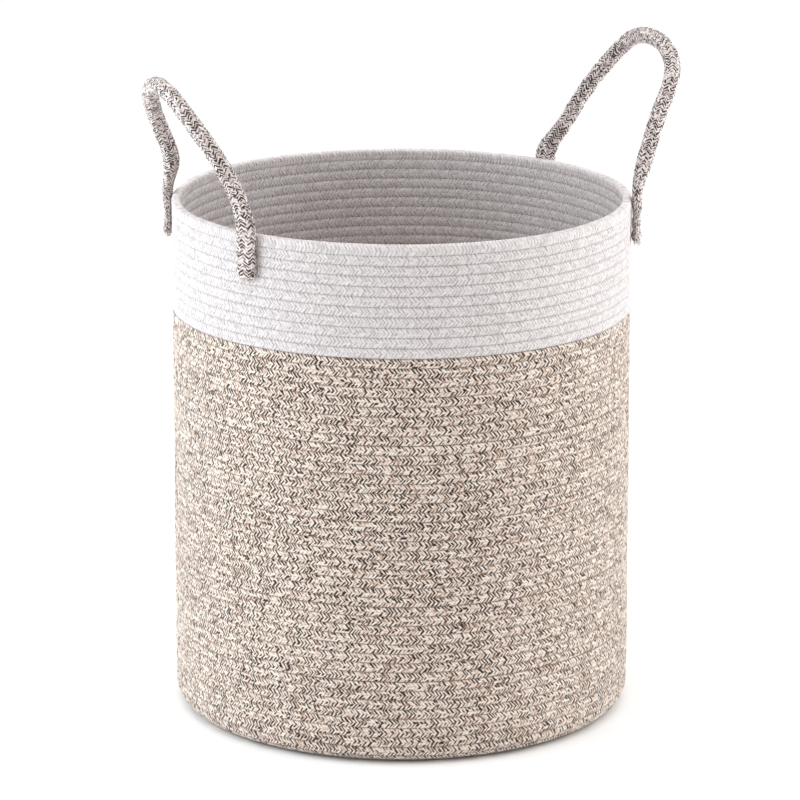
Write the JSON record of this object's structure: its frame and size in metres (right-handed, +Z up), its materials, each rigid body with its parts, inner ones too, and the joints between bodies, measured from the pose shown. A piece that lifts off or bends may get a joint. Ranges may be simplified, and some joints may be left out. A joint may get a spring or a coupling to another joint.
{
  "type": "laundry hamper",
  "caption": "Tall round open-topped laundry hamper of coiled sewn cotton rope, heather below a white band, with two standing rope loop handles.",
  "frame": {"origin": "middle of the hamper's underside, on the surface that it stands on", "axes": "+Z up along the hamper's axis, +X through the middle of the right handle, +Y to the back"},
  "size_m": [0.4755, 0.4, 0.5827],
  "materials": {
    "heather_rope": "braided cotton, flecked oatmeal",
    "white_rope": "braided cotton, white",
    "handle_rope": "braided cotton, flecked cream",
    "heather_thread": "matte sewing thread",
    "white_thread": "matte sewing thread",
    "filler": "loose cotton yarn"
  },
  "bodies": {
    "basket": {"base_coil": "heather_rope", "heather_wall_coil": "heather_rope", "white_band_coil": "white_rope", "base_outer_seam_thread": "heather_thread", "base_inner_seam_thread": "heather_thread", "wall_outer_seam_thread": "heather_thread", "wall_inner_seam_thread": "heather_thread", "band_outer_seam_thread": "white_thread", "band_inner_seam_thread": "white_thread", "left_handle_front_end_cover": "handle_rope", "left_handle_front_end_core": "filler", "left_handle_front_end_stitching": "heather_thread", "left_handle_back_end_cover": "handle_rope", "left_handle_back_end_core": "filler", "left_handle_back_end_stitching": "heather_thread", "right_handle_front_end_cover": "handle_rope", "right_handle_front_end_core": "filler", "right_handle_front_end_stitching": "heather_thread", "right_handle_back_end_cover": "handle_rope", "right_handle_back_end_core": "filler", "right_handle_back_end_stitching": "heather_thread"},
    "left_handle": {"left_handle_loop_cover": "handle_rope", "left_handle_loop_core": "filler"},
    "right_handle": {"right_handle_loop_cover": "handle_rope", "right_handle_loop_core": "filler"}
  },
  "joints": [
    {"name": "left_handle_swing", "type": "hinge", "parent": "basket", "child": "left_handle", "pos_m": [-0.18095, 0, 0.4617], "axis": [0, -1, 0], "range_deg": [-70, 80]},
    {"name": "right_handle_swing", "type": "hinge", "parent": "basket", "child": "right_handle", "pos_m": [0.18095, 0, 0.4617], "axis": [0, 1, 0], "range_deg": [-70, 60]}
  ]
}
